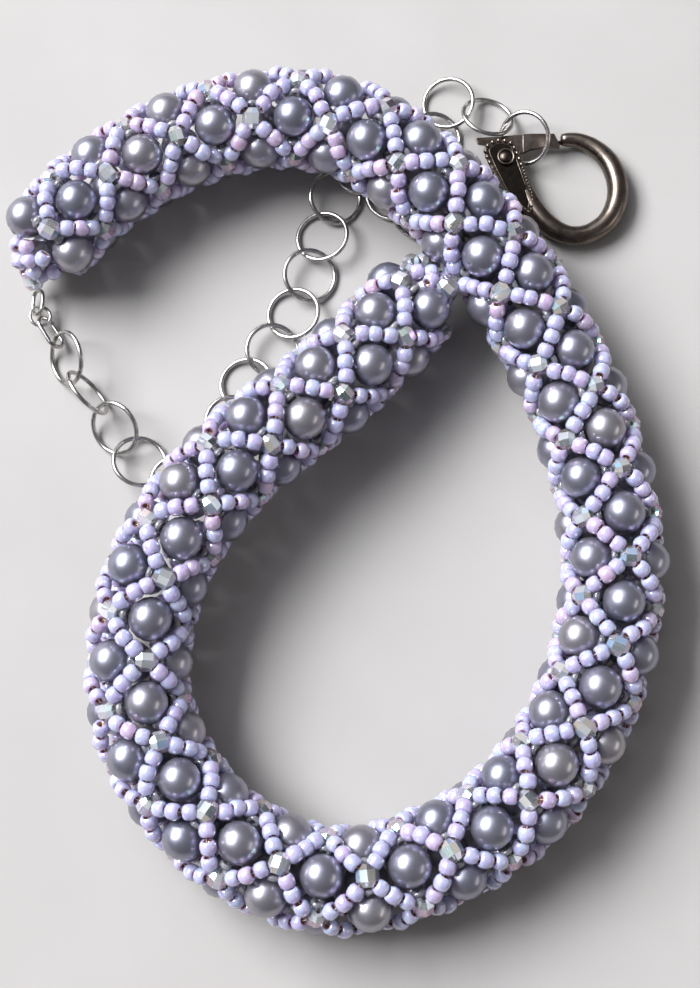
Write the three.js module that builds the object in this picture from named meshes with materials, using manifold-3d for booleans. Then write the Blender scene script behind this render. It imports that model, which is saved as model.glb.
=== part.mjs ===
// A beaded necklace, fastened and lying on a table: a netted rope of pearls, a chain of jump rings and
// a lobster clasp. Millimetres, +Z up, with the table at z = 0.
import * as THREE from 'three';
import { mergeVertices } from 'three/addons/utils/BufferGeometryUtils.js';
import Module from 'manifold-3d';

const wasm = await Module();
wasm.setup();

const { degToRad } = THREE.MathUtils;
const UP = new THREE.Vector3(0, 0, 1);

// ---------------------------------------------------------------- driving dimensions
const GAP = 0.3; // clearance between pieces that touch on the real necklace
const CENTRE = { x: -3.4, y: 3.4 }; // middle of the necklace's footprint, moved to the origin

// The rope: rings of three pearls, each ring turned by 60 degrees from the one before
const PEARL_RADIUS = 4;
const PEARL_OUT = 6.4; // pearl centres lie this far from the rope's centre line
const CORE_RADIUS = 7.9; // corners of the bead net that the pearls sit in
const PEARL_RINGS = 51;
const PEARLS_IN_RING = 3;
const RINGS_IN_SECTION = 3;
const RING_SPACING = 7.96; // along the centre line
const FIRST_RING_AT = 3; // distance of the first ring of pearls from the route's start
const FIRST_TURN = 36; // degrees from straight up, towards the inside of the loop
const TURN_EACH_RING = -1.73; // the rope's twist, in degrees
const ROPE_HEIGHT = PEARL_OUT + PEARL_RADIUS; // centre line above the table, where the rope rests
const CORE_SIDES = 6; // a pearl sits in the middle of every flat side in turn
const PEARL_SEGMENTS = [6, 4];
const ROUTE_DIVISIONS = 800; // steps that the route's length is measured in
const NEAR = 0.05; // rings ahead and behind, to find the rope's direction

// Where the rope climbs over the chain: ring number at the crest, height and half length in rings
const CRESTS = [
  { ring: 6.4, height: 4.1, reach: 7.5 },
  { ring: 39.6, height: 4.3, reach: 8 },
];

// The rope's route on the table, from its clasp end to its chain end
const ROUTE = [
  [14, 38.5], [-3.5, 20], [-23, 3], [-36, -17.5], [-37.5, -42], [-23.5, -62.5],
  [-1.5, -71], [23.5, -62.5], [40.5, -44], [48.5, -17.5], [45.5, 8.5], [35, 33],
  [19, 55.5], [-2, 71.5], [-26, 72], [-49, 59.5], [-65.5, 39],
];

// The seed beads that close each end of the rope
const SEED_RADIUS = 1.55;
const SEED_SEGMENTS = [6, 4];
const END_BALL_RADIUS = 3.6;
const END_BALL_SEGMENTS = [8, 6];
const END_BALL_AT = 4.9; // past the last ring of pearls
const END_COLLAR = { at: 4.7, out: 4.3, apart: 26 }; // six seeds, in pairs between the pearls
const END_TIP = { at: 7.3, out: 1.9, count: 3 };
const END_CORE_REACH = 1; // the core stops this far past the last ring of pearls
const CRYSTAL_RADIUS = 2;

// Jump rings of the chain, all one size
const RING_RADIUS = 5.05; // to the middle of the wire
const RING_WIRE = 0.45; // wire radius
const RING_STEPS = 14;
const WIRE_SIDES = 5;

// Chain from the rope's end to the clasp. Each ring tips so that one side rides up on its neighbour:
// tip is how far in degrees, and high is the compass direction of its raised side, from +X
const CHAIN = [
  { x: -54.8, y: 27.6, tip: 52, high: 20 },
  { x: -50.4, y: 20.5, tip: 68, high: -143 },
  { x: -45.2, y: 13.8, tip: 42, high: 45 },
  { x: -40.4, y: 7.6, tip: 20, high: -136 },
  { x: -33.2, y: 3.5, tip: 10, high: 96 },
  { x: -26.3, y: 8, tip: 16, high: -48 },
  { x: -22.8, y: 15.4, tip: 13, high: 135 },
  { x: -20.2, y: 23.3, tip: 15, high: -33 },
  { x: -15.1, y: 30, tip: 14, high: 156 },
  { x: -11.1, y: 37.5, tip: 15, high: -19 },
  { x: -7.9, y: 45.3, tip: 16, high: 158 },
  { x: -5.5, y: 53.4, tip: 16, high: -25 },
  { x: -2.9, y: 61.5, tip: 17, high: 151 },
  { x: 2.3, y: 67.4, tip: 9, high: -85 },
  { x: 8.3, y: 62.4, tip: 18, high: 37 },
  { x: 13.4, y: 58.5, tip: 14, high: 159 },
  { x: 15.3, y: 66.3, tip: 16, high: -10 },
  { x: 17.1, y: 74.4, tip: 14, high: -179 },
  { x: 19.8, y: 81.7, tip: 16, high: 11 },
  { x: 27.6, y: 78.3, tip: 28, high: -116 },
  { x: 34.8, y: 73.5, tip: 37, high: 40 },
];

// Rings that tie the clasp's eye to the rope's end, with the height of each one's middle
const CLASP_RINGS = [
  { x: 15.8, y: 42.5, z: 5, tip: 23, high: -134 },
  { x: 19.5, y: 49.8, z: 2.6, tip: 23, high: -52 },
  { x: 25.7, y: 56, z: 2.3, tip: 22, high: 137 },
];

// Small links between the rope's chain end and the first jump ring
const GUARD = { x: -61.1, y: 39.5, z: 2.5, radius: 1.55, wire: 0.4, stretch: 1.8, tip: 45, high: 0 };
const SMALL_RING = { x: -60.5, y: 36.6, z: 2.6, radius: 1.95, wire: 0.35, tip: 12, high: -157 };
const OVAL_LINK = { x: -58.4, y: 33.4, z: 2.5, radius: 1.75, wire: 0.4, stretch: 3.4, tip: 51, high: -148 };
const CHAIN_END_CRYSTAL = { x: -61.7, y: 43.4, z: 4.8 };
const CLASP_END_CRYSTAL = { x: 13.7, y: 45.6, z: 7.3 };

// The clasp, in its own frame: x to the right, y up the table, from the middle of its opening
const CLASP_AT = { x: 42.9, y: 63.1 };
const PIVOT = { x: -12, y: 5.9 };
const CLASP_MIDDLE = 2.4; // height of its middle plane
const CHEEKS = { bottom: 1.5, slot: 2.05, slotTop: 3.35, top: 4.3 };
const FORK_FROM = 2.5; // y above which the body is forked for the lever
const LOWER_EAR = { radius: 2.4, from: 5 }; // the lower cheek past this y is only an ear round the rivet
const LEVER = { bottom: 1.9, top: 3.2, length: 11.3, bladeFrom: -8.4 };
const RIVET = { radius: 0.7, head: 1.6, headHeight: 0.7, intoHead: 0.1 };
const EYE = { x: -13.6, y: -3.1, z: 2.4, radius: 1.75, wire: 0.65, turn: 48 }; // a loop standing on edge
const CLAW_FLATNESS = 1.08; // height over width of the claw's section
const CLAW_SIDES = 10;
const EYE_SEGMENTS = [6, 12];
const FAR = 30; // past every side of the clasp, for shapes that cut it in two

// Claw from its tip round to the body: x, y and half width
const CLAW = [
  { x: -0.9, y: 10.45, half: 1.25 }, { x: 2.6, y: 10.3, half: 1.5 }, { x: 6, y: 8.6, half: 1.75 },
  { x: 8.9, y: 5.4, half: 2 }, { x: 10.2, y: 1.2, half: 2.1 }, { x: 9.9, y: -3, half: 2.1 },
  { x: 7.8, y: -7, half: 2.05 }, { x: 4, y: -9.5, half: 1.95 }, { x: 0, y: -9.6, half: 1.9 },
  { x: -3.6, y: -7.6, half: 2 }, { x: -6.3, y: -4.3, half: 2 }, { x: -8.2, y: -0.6, half: 1.8 },
];
const BODY_OUTLINE = [
  [-16.2, 7.4], [-15.4, 4.7], [-14, 1.5], [-12.2, -2.1], [-9.2, -4.6], [-7.3, -5.7], [-6.6, -2.5],
  [-7.6, 1.1], [-8.6, 4.5], [-9.7, 7.6], [-10.9, 9.3], [-13, 9.8], [-15.1, 9.1],
];
const LEVER_OUTLINE = [
  [-17.8, 10.6], [-17.4, 9.4], [-15, 8.9], [-14.2, 7.6], [-14.5, 5.9], [-13.7, 4.2], [-12, 3.5],
  [-10.3, 4.2], [-9.5, 5.9], [-9, 7.2], [-6.9, 8.25], [-4.2, 8.75],
];
const LEVER_TOP_EDGE = [[-6.9, 11.45], [-12.9, 10.9]];
const LEVER_END_FROM = 14.5; // degrees, seen from the pivot
const LEVER_END_TO = 29.5;

// ---------------------------------------------------------------- materials
const pearlGrey = new THREE.MeshStandardMaterial({ color: 0x93939b, roughness: 0.25, metalness: 0.3 });
const opalPink = new THREE.MeshStandardMaterial({ color: 0xd9c9dc, roughness: 0.25, metalness: 0 });
const clearGlass = new THREE.MeshStandardMaterial({ color: 0xd8dde2, roughness: 0.1, metalness: 0 });
const silver = new THREE.MeshStandardMaterial({ color: 0xc4c4c8, roughness: 0.22, metalness: 1 });
const oldSilver = new THREE.MeshStandardMaterial({ color: 0x66625e, roughness: 0.35, metalness: 1 });

// ---------------------------------------------------------------- solids
function toSolid(geometry) {
  const bare = geometry.clone();
  bare.deleteAttribute('normal');
  bare.deleteAttribute('uv');
  const merged = mergeVertices(bare, 1e-4);
  return new wasm.Manifold(new wasm.Mesh({
    numProp: 3,
    vertProperties: Float32Array.from(merged.attributes.position.array),
    triVerts: Uint32Array.from(merged.index.array),
  }));
}

function toGeometry(solid) {
  const mesh = solid.getMesh();
  const geometry = new THREE.BufferGeometry();
  geometry.setAttribute('position', new THREE.BufferAttribute(mesh.vertProperties, 3));
  geometry.setIndex(new THREE.BufferAttribute(mesh.triVerts, 1));
  geometry.computeVertexNormals();
  return geometry;
}

function joined(solids) {
  return solids.reduce((whole, next) => whole.add(next));
}

function named(name, geometry, material) {
  const mesh = new THREE.Mesh(geometry, material);
  mesh.name = name;
  return mesh;
}

// A closed skin over cross sections that all have the same number of corners
function loft(sections) {
  const sides = sections[0].length;
  const corners = sections.flat();
  const faces = [];
  for (let row = 0; row < sections.length - 1; row += 1) {
    for (let side = 0; side < sides; side += 1) {
      const next = (side + 1) % sides;
      const [a, b] = [row * sides + side, row * sides + next];
      faces.push(a, b, a + sides, b, b + sides, a + sides);
    }
  }
  const last = (sections.length - 1) * sides;
  for (let side = 1; side < sides - 1; side += 1) {
    faces.push(0, side + 1, side);
    faces.push(last, last + side, last + side + 1);
  }
  const geometry = new THREE.BufferGeometry();
  const places = corners.flatMap((corner) => corner.toArray());
  geometry.setAttribute('position', new THREE.Float32BufferAttribute(places, 3));
  geometry.setIndex(faces);
  return geometry;
}

function plate(outline, bottom, top) {
  const shape = new THREE.Shape(outline.map(([x, y]) => new THREE.Vector2(x, y)));
  const geometry = new THREE.ExtrudeGeometry(shape, { depth: top - bottom, bevelEnabled: false });
  return toSolid(geometry.translate(0, 0, bottom));
}

function disc(x, y, radius, bottom, top, sides = 16) {
  const geometry = new THREE.CylinderGeometry(radius, radius, top - bottom, sides);
  geometry.rotateX(Math.PI / 2);
  return toSolid(geometry.translate(x, y, (top + bottom) / 2));
}

// ---------------------------------------------------------------- the rope
const route = new THREE.CatmullRomCurve3(
  ROUTE.map(([x, y]) => new THREE.Vector3(x - CENTRE.x, y - CENTRE.y, 0)), false, 'catmullrom', 0.5,
);
route.arcLengthDivisions = ROUTE_DIVISIONS;

function liftAt(ring) {
  return CRESTS.reduce((height, crest) => {
    const away = Math.min(Math.abs(ring - crest.ring) / crest.reach, 1);
    return height + crest.height * 0.5 * (1 + Math.cos(Math.PI * away));
  }, 0);
}

function ropePoint(ring) {
  const point = route.getPointAt((FIRST_RING_AT + ring * RING_SPACING) / route.getLength());
  point.z = ROPE_HEIGHT + liftAt(ring);
  return point;
}

// Centre, direction of travel, side towards the inside of the loop, and the direction up
function ropeFrame(ring) {
  const along = ropePoint(ring + NEAR).sub(ropePoint(ring - NEAR)).normalize();
  const side = new THREE.Vector3().crossVectors(UP, along).normalize();
  const up = new THREE.Vector3().crossVectors(along, side);
  return { centre: ropePoint(ring), along, side, up };
}

function around(frame, degrees, out) {
  const turn = degToRad(degrees);
  return frame.centre.clone()
    .addScaledVector(frame.side, out * Math.sin(turn))
    .addScaledVector(frame.up, out * Math.cos(turn));
}

function ringTurn(ring) {
  return FIRST_TURN + TURN_EACH_RING * ring + 60 * ring;
}

function pearl(ring, which, radius) {
  const frame = ropeFrame(ring);
  const centre = around(frame, ringTurn(ring) + (360 / PEARLS_IN_RING) * which, PEARL_OUT);
  const outwards = centre.clone().sub(frame.centre).normalize();
  const geometry = new THREE.SphereGeometry(radius, ...PEARL_SEGMENTS);
  geometry.applyQuaternion(new THREE.Quaternion().setFromUnitVectors(new THREE.Vector3(0, 1, 0), outwards));
  return toSolid(geometry.translate(...centre.toArray()));
}

function coreSection(ring, out) {
  const frame = ropeFrame(ring);
  const turn = FIRST_TURN + TURN_EACH_RING * ring;
  const corners = [];
  for (let side = 0; side < CORE_SIDES; side += 1) {
    corners.push(around(frame, turn + (-360 * (side + 0.5)) / CORE_SIDES, out));
  }
  return corners;
}

function ropeSection(index) {
  const first = index * RINGS_IN_SECTION;
  const last = first + RINGS_IN_SECTION - 1;
  const join = 0.5 - GAP / RING_SPACING;
  const endReach = END_CORE_REACH / RING_SPACING;
  const from = first - (first === 0 ? endReach : join);
  const to = last + (last === PEARL_RINGS - 1 ? endReach : join);
  const sections = [];
  for (let step = 0; step <= RINGS_IN_SECTION; step += 1) {
    sections.push(coreSection(from + ((to - from) * step) / RINGS_IN_SECTION, CORE_RADIUS));
  }
  let section = toSolid(loft(sections));
  for (const neighbour of [first - 1, last + 1]) {
    const exists = neighbour >= 0 && neighbour < PEARL_RINGS;
    for (let which = 0; which < PEARLS_IN_RING && exists; which += 1) {
      section = section.subtract(pearl(neighbour, which, PEARL_RADIUS + GAP));
    }
  }
  for (let ring = first; ring <= last; ring += 1) {
    for (let which = 0; which < PEARLS_IN_RING; which += 1) {
      section = section.add(pearl(ring, which, PEARL_RADIUS));
    }
  }
  return section;
}

function ball(centre, radius, segments) {
  return toSolid(new THREE.SphereGeometry(radius, ...segments).translate(...centre.toArray()));
}

// Seed beads drawn together over the rope's end
function endCluster(ring, outwards) {
  const frame = ropeFrame(ring);
  const past = (distance, degrees, out) => {
    const beside = around(frame, degrees, out);
    return beside.addScaledVector(frame.along, outwards * distance);
  };
  const beads = [ball(past(END_BALL_AT, 0, 0), END_BALL_RADIUS, END_BALL_SEGMENTS)];
  for (let pearlGap = 0; pearlGap < PEARLS_IN_RING; pearlGap += 1) {
    const middle = ringTurn(ring) + (360 / PEARLS_IN_RING) * (pearlGap + 0.5);
    for (const sign of [-1, 1]) {
      const seed = past(END_COLLAR.at, middle + sign * END_COLLAR.apart, END_COLLAR.out);
      beads.push(ball(seed, SEED_RADIUS, SEED_SEGMENTS));
    }
  }
  for (let bead = 0; bead < END_TIP.count; bead += 1) {
    const seed = past(END_TIP.at, ringTurn(ring) + (360 * bead) / END_TIP.count, END_TIP.out);
    beads.push(ball(seed, SEED_RADIUS, SEED_SEGMENTS));
  }
  return joined(beads);
}

function crystal(at) {
  const mesh = new THREE.Mesh(new THREE.IcosahedronGeometry(CRYSTAL_RADIUS), clearGlass);
  mesh.position.set(at.x - CENTRE.x, at.y - CENTRE.y, at.z);
  return mesh;
}

// ---------------------------------------------------------------- rings and links
function wireRing(radius, wire, stretch = 0) {
  const geometry = new THREE.TorusGeometry(radius, wire, WIRE_SIDES, RING_STEPS);
  geometry.rotateZ(Math.PI / RING_STEPS);
  const position = geometry.attributes.position;
  for (let corner = 0; corner < position.count; corner += 1) {
    const y = position.getY(corner);
    position.setY(corner, y + (Math.sign(y) * stretch) / 2);
  }
  return toGeometry(toSolid(geometry));
}

// A ring lies tipped towards its high side, and rests on the table unless its height is given
function link(name, at) {
  const radius = at.radius ?? RING_RADIUS;
  const wire = at.wire ?? RING_WIRE;
  const mesh = named(name, wireRing(radius, wire, at.stretch), silver);
  const resting = wire + radius * Math.sin(degToRad(at.tip));
  mesh.position.set(at.x - CENTRE.x, at.y - CENTRE.y, at.z ?? resting);
  mesh.rotation.set(0, -degToRad(at.tip), degToRad(at.high), 'ZYX');
  return mesh;
}

function linkRow(prefix, rings) {
  return rings.map((ring, index) => link(`${prefix}_${String(index + 1).padStart(2, '0')}`, ring));
}

// ---------------------------------------------------------------- the clasp
function claw() {
  const path = new THREE.CatmullRomCurve3(CLAW.map((p) => new THREE.Vector3(p.x, p.y, 0)));
  const width = new THREE.CatmullRomCurve3(CLAW.map((p, index) => new THREE.Vector3(p.half, index, 0)));
  const sections = [];
  const steps = 2 * (CLAW.length - 1);
  for (let step = 0; step <= steps; step += 1) {
    const centre = path.getPoint(step / steps);
    const half = width.getPoint(step / steps).x;
    const outwards = new THREE.Vector3().crossVectors(path.getTangent(step / steps), UP);
    const corners = [];
    for (let side = 0; side < CLAW_SIDES; side += 1) {
      const turn = (-2 * Math.PI * (side + 0.5)) / CLAW_SIDES;
      corners.push(centre.clone()
        .addScaledVector(outwards, half * Math.cos(turn))
        .addScaledVector(UP, CLASP_MIDDLE + half * CLAW_FLATNESS * Math.sin(turn)));
    }
    sections.push(corners);
  }
  return toSolid(loft(sections));
}

// Everything of the clasp on one side of a line across it, between two heights
function below(y, bottom, top) {
  return plate([[-FAR, -FAR], [FAR, -FAR], [FAR, y], [-FAR, y]], bottom, top);
}

function above(y, bottom, top) {
  return plate([[-FAR, y], [FAR, y], [FAR, FAR], [-FAR, FAR]], bottom, top);
}

function eyeLoop() {
  const loop = new THREE.TorusGeometry(EYE.radius, EYE.wire, ...EYE_SEGMENTS);
  loop.rotateX(Math.PI / 2);
  loop.rotateZ(degToRad(EYE.turn));
  return toSolid(loop.translate(EYE.x, EYE.y, EYE.z));
}

function claspBody() {
  const foot = plate(BODY_OUTLINE, 0, CHEEKS.top).intersect(below(FORK_FROM, 0, CHEEKS.top));
  const upperCheek = plate(BODY_OUTLINE, CHEEKS.slotTop, CHEEKS.top);
  const roundRivet = disc(PIVOT.x, PIVOT.y, LOWER_EAR.radius, 0, CHEEKS.top);
  const ear = roundRivet.add(below(LOWER_EAR.from, 0, CHEEKS.top));
  const lowerCheek = plate(BODY_OUTLINE, CHEEKS.bottom, CHEEKS.slot).intersect(ear);
  const rivetHole = disc(PIVOT.x, PIVOT.y, RIVET.radius + GAP, -FAR, FAR);
  const slot = above(FORK_FROM, CHEEKS.slot, CHEEKS.slotTop);
  return joined([foot, upperCheek, lowerCheek, eyeLoop(), claw()]).subtract(slot).subtract(rivetHole);
}

function leverSolid() {
  const outline = [...LEVER_OUTLINE];
  for (const degrees of [LEVER_END_FROM, (LEVER_END_FROM + LEVER_END_TO) / 2, LEVER_END_TO]) {
    const turn = degToRad(degrees);
    outline.push([PIVOT.x + LEVER.length * Math.cos(turn), PIVOT.y + LEVER.length * Math.sin(turn)]);
  }
  outline.push(...LEVER_TOP_EDGE);
  const root = plate(outline, CHEEKS.slot + GAP, CHEEKS.slotTop - GAP);
  const besideFork = [[LEVER.bladeFrom, 0], [FAR, 0], [FAR, FAR], [LEVER.bladeFrom, FAR]];
  const pastFork = plate(besideFork, 0, CHEEKS.top);
  const blade = plate(outline, LEVER.bottom, LEVER.top).intersect(pastFork);
  const hole = disc(PIVOT.x, PIVOT.y, RIVET.radius + GAP, 0, CHEEKS.top);
  return root.add(blade).subtract(hole);
}

function rivetSolid() {
  const shankTop = CHEEKS.top + GAP + RIVET.intoHead;
  const shank = disc(PIVOT.x, PIVOT.y, RIVET.radius, CHEEKS.bottom, shankTop);
  const head = disc(PIVOT.x, PIVOT.y, RIVET.head, CHEEKS.top + GAP, CHEEKS.top + GAP + RIVET.headHeight);
  return shank.add(head);
}

function clasp() {
  const group = new THREE.Group();
  group.position.set(CLASP_AT.x - CENTRE.x, CLASP_AT.y - CENTRE.y, 0);
  group.add(named('clasp_body', toGeometry(claspBody()), oldSilver));
  group.add(named('clasp_lever', toGeometry(leverSolid()), oldSilver));
  group.add(named('clasp_rivet', toGeometry(rivetSolid()), oldSilver));
  return group;
}

// ---------------------------------------------------------------- the necklace
const necklace = new THREE.Group();
for (let index = 0; index < PEARL_RINGS / RINGS_IN_SECTION; index += 1) {
  const name = `bead_rope_${String(index + 1).padStart(2, '0')}`;
  necklace.add(named(name, toGeometry(ropeSection(index)), pearlGrey));
}
necklace.add(named('seed_end_clasp', toGeometry(endCluster(0, -1)), opalPink));
necklace.add(named('seed_end_chain', toGeometry(endCluster(PEARL_RINGS - 1, 1)), opalPink));

const claspEndCrystal = crystal(CLASP_END_CRYSTAL);
claspEndCrystal.name = 'crystal_clasp_end';
const chainEndCrystal = crystal(CHAIN_END_CRYSTAL);
chainEndCrystal.name = 'crystal_chain_end';
necklace.add(claspEndCrystal, chainEndCrystal);

necklace.add(link('wire_guard', GUARD), link('small_ring', SMALL_RING), link('oval_link', OVAL_LINK));
necklace.add(...linkRow('chain_ring', CHAIN), ...linkRow('clasp_ring', CLASP_RINGS));
necklace.add(clasp());

export default necklace;
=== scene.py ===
# %% [markdown]
# # A beaded necklace
# A hollow rope is netted from opal seed beads, with grey glass pearls in the net's cells and small cut
# crystals where its strands cross. A chain of jump rings and a lobster clasp close it. This lesson builds
# each piece around a measured model of the necklace, which gives every place and size.
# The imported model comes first: its nodes are the frame that all pieces are fitted to.

# %% Load the frame
import math
import random

import bmesh
import bpy
import numpy as np
from mathutils import Matrix, Vector


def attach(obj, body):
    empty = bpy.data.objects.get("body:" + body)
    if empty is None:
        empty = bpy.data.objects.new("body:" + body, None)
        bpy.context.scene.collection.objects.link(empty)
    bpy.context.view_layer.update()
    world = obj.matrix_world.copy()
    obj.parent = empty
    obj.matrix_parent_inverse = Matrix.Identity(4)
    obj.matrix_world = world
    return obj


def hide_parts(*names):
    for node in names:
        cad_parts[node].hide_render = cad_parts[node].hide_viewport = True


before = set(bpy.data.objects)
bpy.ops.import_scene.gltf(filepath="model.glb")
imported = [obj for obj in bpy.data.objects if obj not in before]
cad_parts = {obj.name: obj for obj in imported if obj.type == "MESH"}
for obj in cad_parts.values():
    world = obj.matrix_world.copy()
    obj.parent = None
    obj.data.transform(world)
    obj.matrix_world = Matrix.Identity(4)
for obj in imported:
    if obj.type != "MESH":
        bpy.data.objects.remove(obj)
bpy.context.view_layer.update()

MM = 0.001

# %% Helpers for objects and meshes
UP = Vector((0.0, 0.0, 1.0))
scene = bpy.context.scene


def add_object(name, data):
    """A new object at the origin, in the scene."""
    made = bpy.data.objects.new(name, data)
    scene.collection.objects.link(made)
    return made


def report(piece):
    """Prints how large a piece's mesh is."""
    print(piece.name, len(piece.data.polygons), "faces")


def turns(count):
    """Evenly spaced angles round one full turn."""
    return [2 * math.pi * side / count for side in range(count)]


def round_row(shape, middle, radius, height, sides, layer, number):
    """A ring of corners about an upright line (mm), each with a number stored on it."""
    row = []
    for turn in turns(sides):
        place = middle + Vector((radius * math.cos(turn), radius * math.sin(turn), height))
        row.append(shape.verts.new(place * MM))
        row[-1][layer] = number
    return row


def walled(shape, rows):
    """Faces between each row of corners and the next, all the way round. Gives the faces."""
    faces = []
    for row, following in zip(rows, rows[1:]):
        for side in range(len(row)):
            after = (side + 1) % len(row)
            faces.append(shape.faces.new((row[side], row[after], following[after], following[side])))
    return faces


# %% [markdown]
# ## Camera, floor and light
# The necklace lies on a table and is seen from almost straight above. One large window on the left gives
# the long bright highlight on every pearl, so an area light of a window's shape does the same here, with a
# wider and weaker one round it for the sky. A low card on the right and a soft grey world keep the shaded
# side readable. The lamps stand well away, so that the light hardly falls off across the table.

# %% Camera
EYE_POINT = Vector((3.4, -72.0, 330.8)) * MM
LOOK_AT = Vector((3.4, -3.4, 8.0)) * MM
camera_data = bpy.data.cameras.new("camera")
camera_data.sensor_fit = "VERTICAL"
camera_data.sensor_height = 36.0
camera_data.sensor_width = 36.0
camera_data.lens = 63.95
camera = add_object("camera", camera_data)
camera.location = EYE_POINT
camera.rotation_euler = (LOOK_AT - EYE_POINT).to_track_quat("-Z", "Y").to_euler()
scene.camera = camera
print("camera is", round((EYE_POINT - LOOK_AT).length / MM), "mm away")


# %% Lights and world
def soft_light(name, azimuth, elevation, distance, size, power, colour, roll=0.0):
    """A rectangular lamp aimed at the necklace's middle. Azimuth is counted from +X."""
    data = bpy.data.lights.new(name, "AREA")
    data.shape = "RECTANGLE"
    data.size, data.size_y = size
    data.energy = power
    data.color = colour
    lamp = add_object(name, data)
    a, e = math.radians(azimuth), math.radians(elevation)
    away = Vector((math.cos(a) * math.cos(e), math.sin(a) * math.cos(e), math.sin(e)))
    lamp.location = LOOK_AT + away * distance
    aimed = (-away).to_track_quat("-Z", "Y").to_matrix().to_4x4()
    lamp.rotation_euler = (aimed @ Matrix.Rotation(math.radians(roll), 4, "Z")).to_euler()


soft_light("window", 150, 44, 2.25, (1.7, 1.0), 142.0, (0.92, 0.95, 1.0), roll=24)
soft_light("sky_round_the_window", 140, 50, 2.5, (3.25, 2.25), 31.0, (0.84, 0.90, 1.0), roll=10)
soft_light("card", -15, 24, 1.6, (0.9, 0.4), 2.8, (1.0, 0.97, 0.93))
world = bpy.data.worlds.new("room")
world.use_nodes = True
sky = world.node_tree.nodes["Background"].inputs
sky["Color"].default_value = (0.80, 0.80, 0.86, 1)
sky["Strength"].default_value = 0.2
scene.world = world
scene.view_settings.view_transform = "Standard"

# %% [markdown]
# ## Finishes
# Each finish is a Principled shader with a procedural pattern in front of its colour, roughness or bump.
# Patterns read Object coordinates, and a few read numbers stored on the beads themselves: `tone` is one
# random number for each bead, and `lining` marks the copper-brown lining of a bead's hole. Trees of both
# kinds, for shaders and for shapes, are put together with the same few helpers.


# %% Helpers for shader nodes
def finish(name, **sockets):
    """A new material, with constants set on its Principled shader."""
    made = bpy.data.materials.new(name)
    made.use_nodes = True
    shader = made.node_tree.nodes["Principled BSDF"]
    for socket, value in sockets.items():
        shader.inputs[socket.replace("_", " ")].default_value = value
    return made, made.node_tree, shader


def put(tree, socket, value):
    """A number, a vector or another node's output goes into a socket."""
    if isinstance(value, bpy.types.NodeSocket):
        tree.links.new(value, socket)
    else:
        socket.default_value = value


def node(tree, kind, *values, **settings):
    """Adds a node, fills its open inputs in order (None leaves one as it is), gives its first output."""
    made = tree.nodes.new(kind)
    for name, value in settings.items():
        setattr(made, name, value)
    open_inputs = [s for s in made.inputs if s.enabled]
    for socket, value in zip(open_inputs, values):
        if value is not None:
            put(tree, socket, value)
    return next(s for s in made.outputs if s.enabled)


def calc(tree, operation, *values):
    """A sum on numbers."""
    return node(tree, "ShaderNodeMath", *values, operation=operation)


def vec(tree, operation, *values):
    """A sum on vectors, or on colours taken as vectors."""
    return node(tree, "ShaderNodeVectorMath", *values, operation=operation)


def linked(tree, kind, **links):
    """Adds a node and fills the inputs that are named. Gives the node."""
    made = tree.nodes.new(kind)
    for label, value in links.items():
        put(tree, made.inputs[label.replace("_", " ")], value)
    return made


print("node helpers ready")


# %% Helpers for patterns
def pattern(tree, scale, detail=2.0, roughness=0.5):
    """Soft noise on Object coordinates, from 0 to 1."""
    place = tree.nodes.new("ShaderNodeTexCoord").outputs["Object"]
    noise = linked(tree, "ShaderNodeTexNoise", Vector=place, Scale=scale, Detail=detail, Roughness=roughness)
    return noise.outputs["Fac"]


def bead_number(tree, name):
    """A number that is stored on the beads."""
    return node(tree, "ShaderNodeAttribute", attribute_name=name).node.outputs["Fac"]


def ramp(tree, value, *stops):
    """Colours along a value: stops are (position, colour)."""
    made = linked(tree, "ShaderNodeValToRGB", Fac=value)
    bands = made.color_ramp.elements
    while len(bands) < len(stops):
        bands.new(0.5)
    for band, (position, colour) in zip(bands, stops):
        band.position = position
        band.color = (*colour, 1)
    return made.outputs["Color"]


def spread(tree, value, low, high):
    """Maps 0 to 1 onto low to high."""
    return node(tree, "ShaderNodeMapRange", value, 0.0, 1.0, low, high)


def blended(tree, share, first, second):
    """Mixes two colours."""
    made = tree.nodes.new("ShaderNodeMix")
    made.data_type = "RGBA"
    put(tree, made.inputs["Factor"], share)
    colours = [s for s in made.inputs if s.enabled and s.type == "RGBA"]
    put(tree, colours[0], first)
    put(tree, colours[1], second)
    return next(s for s in made.outputs if s.enabled)


def feed(tree, shader, **patterns):
    """Links patterns into a shader's sockets."""
    for socket, value in patterns.items():
        tree.links.new(value, shader.inputs[socket.replace("_", " ")])


def rough_skin(tree, shader, height, strength, distance):
    """A bump from a height pattern, on a shader."""
    bump = linked(tree, "ShaderNodeBump", Strength=strength, Distance=distance, Height=height)
    feed(tree, shader, Normal=bump.outputs["Normal"])


print("pattern helpers ready")

# %% [markdown]
# A glass pearl is a bead dipped many times in pearl essence. Its body looks like a soft metal, and a clear
# skin over it gives the sharp highlight. So the shader is nearly all metallic and fairly rough, under a
# smooth clear coat. Broad noise lets the grey drift a little towards blue or brown from bead to bead.

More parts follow.
